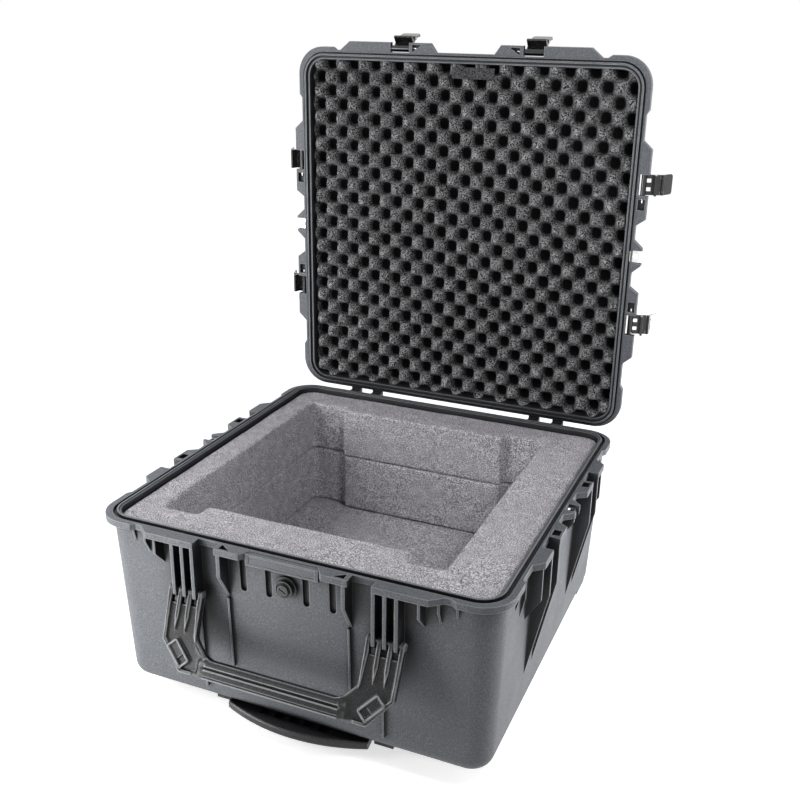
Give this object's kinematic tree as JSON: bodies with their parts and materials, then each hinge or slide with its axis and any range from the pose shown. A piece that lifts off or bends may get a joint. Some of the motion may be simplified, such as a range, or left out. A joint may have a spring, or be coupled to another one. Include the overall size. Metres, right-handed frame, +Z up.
{
  "type": "wheeled hard case",
  "caption": "Wheeled hard protector case with a hinged lid, lever latches, a fold-down handle, a pull-out trolley grip and fitted foam.",
  "frame": {"origin": "on the floor, under the middle of the open case's bounding box", "axes": "+Z up, -Y towards the front handle, +X to the right as seen from the front"},
  "size_m": [0.7378, 0.8109, 0.9998],
  "materials": {
    "case": "textured dark grey",
    "handle": "satin near-black",
    "latch": "gloss black",
    "steel": "bright",
    "tube": "satin",
    "seal": "matte",
    "base_foam": "open-cell foam, grey",
    "lid_foam": "open-cell foam, charcoal",
    "pad": "matte",
    "tyre": "matte",
    "hub": "satin"
  },
  "bodies": {
    "base": {"base_shell": "case", "foam_ring_upper": "base_foam", "foam_ring_lower": "base_foam", "foam_base_pad": "base_foam", "name_plate": "case", "valve_body": "handle", "valve_seal": "seal", "valve_nut": "handle", "padlock_plates_base": "steel", "hinge_pins": "steel", "handle_pins": "steel", "axles": "steel", "feet": "handle", "trolley_channels": "handle", "trolley_front_bracket": "handle", "trolley_rear_bracket": "handle"},
    "lid": {"lid_shell": "case", "lid_gasket": "seal", "lid_foam": "lid_foam", "lid_pad": "pad", "padlock_plates_lid": "steel", "latch_pins": "steel"},
    "front_handle": {"handle": "handle"},
    "latch_arm_1": {"latch_arm_1": "latch", "lever_pin_1": "steel"},
    "latch_lever_1": {"latch_lever_1": "latch"},
    "latch_arm_2": {"latch_arm_2": "latch", "lever_pin_2": "steel"},
    "latch_lever_2": {"latch_lever_2": "latch"},
    "latch_arm_3": {"latch_arm_3": "latch", "lever_pin_3": "steel"},
    "latch_lever_3": {"latch_lever_3": "latch"},
    "latch_arm_4": {"latch_arm_4": "latch", "lever_pin_4": "steel"},
    "latch_lever_4": {"latch_lever_4": "latch"},
    "latch_arm_5": {"latch_arm_5": "latch", "lever_pin_5": "steel"},
    "latch_lever_5": {"latch_lever_5": "latch"},
    "latch_arm_6": {"latch_arm_6": "latch", "lever_pin_6": "steel"},
    "latch_lever_6": {"latch_lever_6": "latch"},
    "trolley": {"trolley_tubes": "tube", "trolley_grip": "handle"},
    "trolley_trigger": {"trolley_trigger": "latch"},
    "wheel_1": {"wheel_tyre_1": "tyre", "wheel_hub_1": "hub"},
    "wheel_2": {"wheel_tyre_2": "tyre", "wheel_hub_2": "hub"},
    "wheel_3": {"wheel_tyre_3": "tyre", "wheel_hub_3": "hub"},
    "wheel_4": {"wheel_tyre_4": "tyre", "wheel_hub_4": "hub"}
  },
  "joints": [
    {"name": "lid_hinge", "type": "hinge", "parent": "base", "child": "lid", "pos_m": [0, 0.31438, 0.3095], "axis": [1, 0, 0], "range_deg": [0, 90]},
    {"name": "handle_swing", "type": "hinge", "parent": "base", "child": "front_handle", "pos_m": [0, -0.35187, 0.234], "axis": [-1, 0, 0], "range_deg": [0, 68]},
    {"name": "latch_swing_1", "type": "hinge", "parent": "lid", "child": "latch_arm_1", "pos_m": [-0.123, 0.33338, 0.97575], "axis": [-1, 0, 0], "range_deg": [-141, 9]},
    {"name": "lever_lift_1", "type": "hinge", "parent": "latch_arm_1", "child": "latch_lever_1", "pos_m": [-0.123, 0.36092, 0.99259], "axis": [-1, 0, 0], "range_deg": [-25, 70]},
    {"name": "latch_swing_2", "type": "hinge", "parent": "lid", "child": "latch_arm_2", "pos_m": [0.123, 0.33338, 0.97575], "axis": [-1, 0, 0], "range_deg": [-141, 9]},
    {"name": "lever_lift_2", "type": "hinge", "parent": "latch_arm_2", "child": "latch_lever_2", "pos_m": [0.123, 0.36092, 0.99259], "axis": [-1, 0, 0], "range_deg": [-25, 70]},
    {"name": "latch_swing_3", "type": "hinge", "parent": "lid", "child": "latch_arm_3", "pos_m": [0.327, 0.33338, 0.76775], "axis": [0, 0, 1], "range_deg": [-110, 40]},
    {"name": "lever_lift_3", "type": "hinge", "parent": "latch_arm_3", "child": "latch_lever_3", "pos_m": [0.35562, 0.34832, 0.76775], "axis": [0, 0, 1], "range_deg": [-40, 55]},
    {"name": "latch_swing_4", "type": "hinge", "parent": "lid", "child": "latch_arm_4", "pos_m": [0.327, 0.33338, 0.52175], "axis": [0, 0, 1], "range_deg": [-110, 40]},
    {"name": "lever_lift_4", "type": "hinge", "parent": "latch_arm_4", "child": "latch_lever_4", "pos_m": [0.35562, 0.34832, 0.52175], "axis": [0, 0, 1], "range_deg": [-40, 55]},
    {"name": "latch_swing_5", "type": "hinge", "parent": "lid", "child": "latch_arm_5", "pos_m": [-0.327, 0.33338, 0.52175], "axis": [0, 0, -1], "range_deg": [-110, 40]},
    {"name": "lever_lift_5", "type": "hinge", "parent": "latch_arm_5", "child": "latch_lever_5", "pos_m": [-0.35562, 0.34832, 0.52175], "axis": [0, 0, -1], "range_deg": [-40, 55]},
    {"name": "latch_swing_6", "type": "hinge", "parent": "lid", "child": "latch_arm_6", "pos_m": [-0.327, 0.33338, 0.76775], "axis": [0, 0, -1], "range_deg": [-110, 40]},
    {"name": "lever_lift_6", "type": "hinge", "parent": "latch_arm_6", "child": "latch_lever_6", "pos_m": [-0.35562, 0.34832, 0.76775], "axis": [0, 0, -1], "range_deg": [-40, 55]},
    {"name": "trolley_slide", "type": "slide", "parent": "base", "child": "trolley", "axis": [0, -1, 0], "range_m": [0, 0.38]},
    {"name": "trigger_pull", "type": "slide", "parent": "trolley", "child": "trolley_trigger", "axis": [0, -1, 0], "range_m": [0, 0.004], "stiffness_N_per_m": 300},
    {"name": "wheel_spin_1", "type": "hinge", "parent": "base", "child": "wheel_1", "pos_m": [-0.269, 0.24713, 0.0375], "axis": [1, 0, 0], "continuous": true},
    {"name": "wheel_spin_2", "type": "hinge", "parent": "base", "child": "wheel_2", "pos_m": [-0.233, 0.24713, 0.0375], "axis": [1, 0, 0], "continuous": true},
    {"name": "wheel_spin_3", "type": "hinge", "parent": "base", "child": "wheel_3", "pos_m": [0.269, 0.24713, 0.0375], "axis": [1, 0, 0], "continuous": true},
    {"name": "wheel_spin_4", "type": "hinge", "parent": "base", "child": "wheel_4", "pos_m": [0.233, 0.24713, 0.0375], "axis": [1, 0, 0], "continuous": true}
  ]
}
